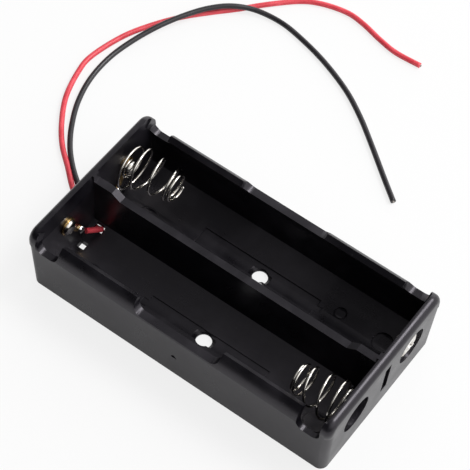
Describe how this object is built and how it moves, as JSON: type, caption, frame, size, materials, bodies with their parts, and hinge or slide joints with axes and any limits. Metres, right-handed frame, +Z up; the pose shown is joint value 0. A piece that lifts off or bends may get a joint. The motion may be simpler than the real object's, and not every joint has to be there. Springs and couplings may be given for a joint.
{
  "type": "cylindrical cell holder",
  "caption": "Open two-bay holder for cylindrical cells, with clip-over lips, coil spring contacts, riveted end contacts and flying leads.",
  "frame": {"origin": "centre of the housing's flat underside", "axes": "+X along the cells, towards the end wall with the link strip; +Y from the bay with the red lead to the bay with the black lead; +Z up, out of the bays"},
  "size_m": [0.1054, 0.1049, 0.018],
  "materials": {
    "housing_plastic": "satin moulded",
    "contact_metal": "nickel plated",
    "spring_wire": "nickel plated, polished",
    "tab_brass": "stamped",
    "solder_metal": "bright, uneven",
    "red_insulation": "satin",
    "black_insulation": "satin",
    "strands": "cut bare ends"
  },
  "bodies": {
    "root": {"housing": "housing_plastic", "positive_rivet": "contact_metal", "negative_rivet": "contact_metal", "link_rivet": "contact_metal", "link_strip": "contact_metal", "link_lug": "contact_metal", "positive_tab": "tab_brass", "negative_tab": "tab_brass", "positive_solder": "solder_metal", "negative_solder": "solder_metal", "negative_spring": "spring_wire", "link_spring": "spring_wire", "red_lead": "red_insulation", "black_lead": "black_insulation", "red_core": "strands", "black_core": "strands"}
  },
  "joints": []
}
